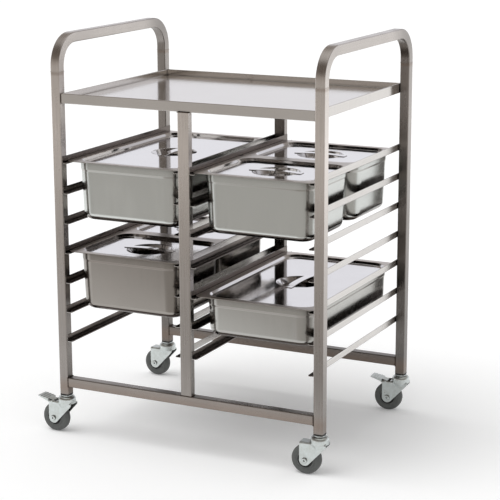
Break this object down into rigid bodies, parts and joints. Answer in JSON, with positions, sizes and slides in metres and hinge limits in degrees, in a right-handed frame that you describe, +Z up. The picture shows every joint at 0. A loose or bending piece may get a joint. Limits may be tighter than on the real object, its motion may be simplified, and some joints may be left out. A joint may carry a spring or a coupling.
{
  "type": "gastronorm tray trolley",
  "caption": "Open stainless tube trolley on swivel castors, with stacked runners for food pans in side-by-side columns, lidded pans, a tray shelf on top and bent push handles.",
  "frame": {"origin": "on the floor under the middle of the frame, midway between the four swivel stems", "axes": "+Z up; +X to the right seen from the front; +Y from the front to the rear"},
  "size_m": [0.8188, 0.5822, 1.03],
  "materials": {
    "frame_steel": "satin-ground stainless tube and folded sheet",
    "pan_steel": "satin pressed stainless",
    "lid_steel": "polished pressed stainless",
    "castor_zinc": "bright zinc plate on pressed steel",
    "plug_nylon": "black nylon",
    "core_plastic": "moulded black plastic",
    "tyre_rubber": "dark grey rubber"
  },
  "bodies": {
    "frame": {"left_handle": "frame_steel", "front_left_post": "frame_steel", "rear_left_post": "frame_steel", "right_handle": "frame_steel", "front_right_post": "frame_steel", "rear_right_post": "frame_steel", "front_centre_post": "frame_steel", "front_bottom_rail": "frame_steel", "rear_centre_post": "frame_steel", "rear_bottom_rail": "frame_steel", "top_shelf": "frame_steel", "left_outer_runners": "frame_steel", "left_inner_runners": "frame_steel", "right_inner_runners": "frame_steel", "right_outer_runners": "frame_steel", "front_left_castor_plug": "plug_nylon", "front_left_castor_stem": "castor_zinc", "front_right_castor_plug": "plug_nylon", "front_right_castor_stem": "castor_zinc", "rear_left_castor_plug": "plug_nylon", "rear_left_castor_stem": "castor_zinc", "rear_right_castor_plug": "plug_nylon", "rear_right_castor_stem": "castor_zinc"},
    "front_left_castor": {"front_left_castor_fork": "castor_zinc", "front_left_castor_axle": "castor_zinc"},
    "front_left_wheel": {"front_left_wheel_core": "core_plastic", "front_left_tyre": "tyre_rubber"},
    "front_left_brake": {"front_left_brake_pedal": "castor_zinc"},
    "front_right_castor": {"front_right_castor_fork": "castor_zinc", "front_right_castor_axle": "castor_zinc"},
    "front_right_wheel": {"front_right_wheel_core": "core_plastic", "front_right_tyre": "tyre_rubber"},
    "rear_left_castor": {"rear_left_castor_fork": "castor_zinc", "rear_left_castor_axle": "castor_zinc"},
    "rear_left_wheel": {"rear_left_wheel_core": "core_plastic", "rear_left_tyre": "tyre_rubber"},
    "rear_right_castor": {"rear_right_castor_fork": "castor_zinc", "rear_right_castor_axle": "castor_zinc"},
    "rear_right_wheel": {"rear_right_wheel_core": "core_plastic", "rear_right_tyre": "tyre_rubber"},
    "rear_right_brake": {"rear_right_brake_pedal": "castor_zinc"},
    "upper_left_pan": {"upper_left_pan": "pan_steel"},
    "upper_left_lid": {"upper_left_lid": "lid_steel", "upper_left_lid_strap": "lid_steel"},
    "lower_left_front_pan": {"lower_left_front_pan": "pan_steel"},
    "lower_left_front_lid": {"lower_left_front_lid": "lid_steel", "lower_left_front_lid_strap": "lid_steel"},
    "lower_left_rear_pan": {"lower_left_rear_pan": "pan_steel"},
    "lower_left_rear_lid": {"lower_left_rear_lid": "lid_steel", "lower_left_rear_lid_strap": "lid_steel"},
    "upper_right_front_pan": {"upper_right_front_pan": "pan_steel"},
    "upper_right_front_lid": {"upper_right_front_lid": "lid_steel", "upper_right_front_lid_strap": "lid_steel"},
    "upper_right_rear_pan": {"upper_right_rear_pan": "pan_steel"},
    "upper_right_rear_lid": {"upper_right_rear_lid": "lid_steel", "upper_right_rear_lid_strap": "lid_steel"},
    "lower_right_pan": {"lower_right_pan": "pan_steel"},
    "lower_right_lid": {"lower_right_lid": "lid_steel", "lower_right_lid_strap": "lid_steel"}
  },
  "joints": [
    {"name": "front_left_swivel", "type": "hinge", "parent": "frame", "child": "front_left_castor", "pos_m": [-0.3575, -0.2675, 0.08], "axis": [0, 0, 1], "continuous": true},
    {"name": "front_left_roll", "type": "hinge", "parent": "front_left_castor", "child": "front_left_wheel", "pos_m": [-0.39045, -0.26577, 0.0375], "axis": [-0.0523, -0.9986, 0], "continuous": true},
    {"name": "front_left_brake_press", "type": "hinge", "parent": "front_left_castor", "child": "front_left_brake", "pos_m": [-0.39545, -0.26551, 0.08], "axis": [-0.0523, -0.9986, 0], "range_deg": [0, 12]},
    {"name": "front_right_swivel", "type": "hinge", "parent": "frame", "child": "front_right_castor", "pos_m": [0.3575, -0.2675, 0.08], "axis": [0, 0, 1], "continuous": true},
    {"name": "front_right_roll", "type": "hinge", "parent": "front_right_castor", "child": "front_right_wheel", "pos_m": [0.32454, -0.26923, 0.0375], "axis": [0.0523, -0.9986, 0], "continuous": true},
    {"name": "rear_left_swivel", "type": "hinge", "parent": "frame", "child": "rear_left_castor", "pos_m": [-0.3575, 0.2675, 0.08], "axis": [0, 0, 1], "continuous": true},
    {"name": "rear_left_roll", "type": "hinge", "parent": "rear_left_castor", "child": "rear_left_wheel", "pos_m": [-0.39048, 0.26865, 0.0375], "axis": [-0.0349, -0.9994, 0], "continuous": true},
    {"name": "rear_right_swivel", "type": "hinge", "parent": "frame", "child": "rear_right_castor", "pos_m": [0.3575, 0.2675, 0.08], "axis": [0, 0, 1], "continuous": true},
    {"name": "rear_right_roll", "type": "hinge", "parent": "rear_right_castor", "child": "rear_right_wheel", "pos_m": [0.32458, 0.2652, 0.0375], "axis": [0.0698, -0.9976, 0], "continuous": true},
    {"name": "rear_right_brake_press", "type": "hinge", "parent": "rear_right_castor", "child": "rear_right_brake", "pos_m": [0.31959, 0.26485, 0.08], "axis": [0.0698, -0.9976, 0], "range_deg": [0, 12]},
    {"name": "upper_left_pan_slide", "type": "slide", "parent": "frame", "child": "upper_left_pan", "axis": [0, -1, 0], "range_m": [0, 0.45]},
    {"name": "upper_left_lid_lift", "type": "slide", "parent": "upper_left_pan", "child": "upper_left_lid", "axis": [0, 0, 1], "range_m": [0, 0.06]},
    {"name": "lower_left_front_pan_slide", "type": "slide", "parent": "frame", "child": "lower_left_front_pan", "axis": [0, -1, 0], "range_m": [0, 0.22]},
    {"name": "lower_left_front_lid_lift", "type": "slide", "parent": "lower_left_front_pan", "child": "lower_left_front_lid", "axis": [0, 0, 1], "range_m": [0, 0.06]},
    {"name": "lower_left_rear_pan_slide", "type": "slide", "parent": "frame", "child": "lower_left_rear_pan", "axis": [0, 1, 0], "range_m": [0, 0.22]},
    {"name": "lower_left_rear_lid_lift", "type": "slide", "parent": "lower_left_rear_pan", "child": "lower_left_rear_lid", "axis": [0, 0, 1], "range_m": [0, 0.06]},
    {"name": "upper_right_front_pan_slide", "type": "slide", "parent": "frame", "child": "upper_right_front_pan", "axis": [0, -1, 0], "range_m": [0, 0.22]},
    {"name": "upper_right_front_lid_lift", "type": "slide", "parent": "upper_right_front_pan", "child": "upper_right_front_lid", "axis": [0, 0, 1], "range_m": [0, 0.06]},
    {"name": "upper_right_rear_pan_slide", "type": "slide", "parent": "frame", "child": "upper_right_rear_pan", "axis": [0, 1, 0], "range_m": [0, 0.22]},
    {"name": "upper_right_rear_lid_lift", "type": "slide", "parent": "upper_right_rear_pan", "child": "upper_right_rear_lid", "axis": [0, 0, 1], "range_m": [0, 0.06]},
    {"name": "lower_right_pan_slide", "type": "slide", "parent": "frame", "child": "lower_right_pan", "axis": [0, -1, 0], "range_m": [0, 0.45]},
    {"name": "lower_right_lid_lift", "type": "slide", "parent": "lower_right_pan", "child": "lower_right_lid", "axis": [0, 0, 1], "range_m": [0, 0.06]}
  ]
}
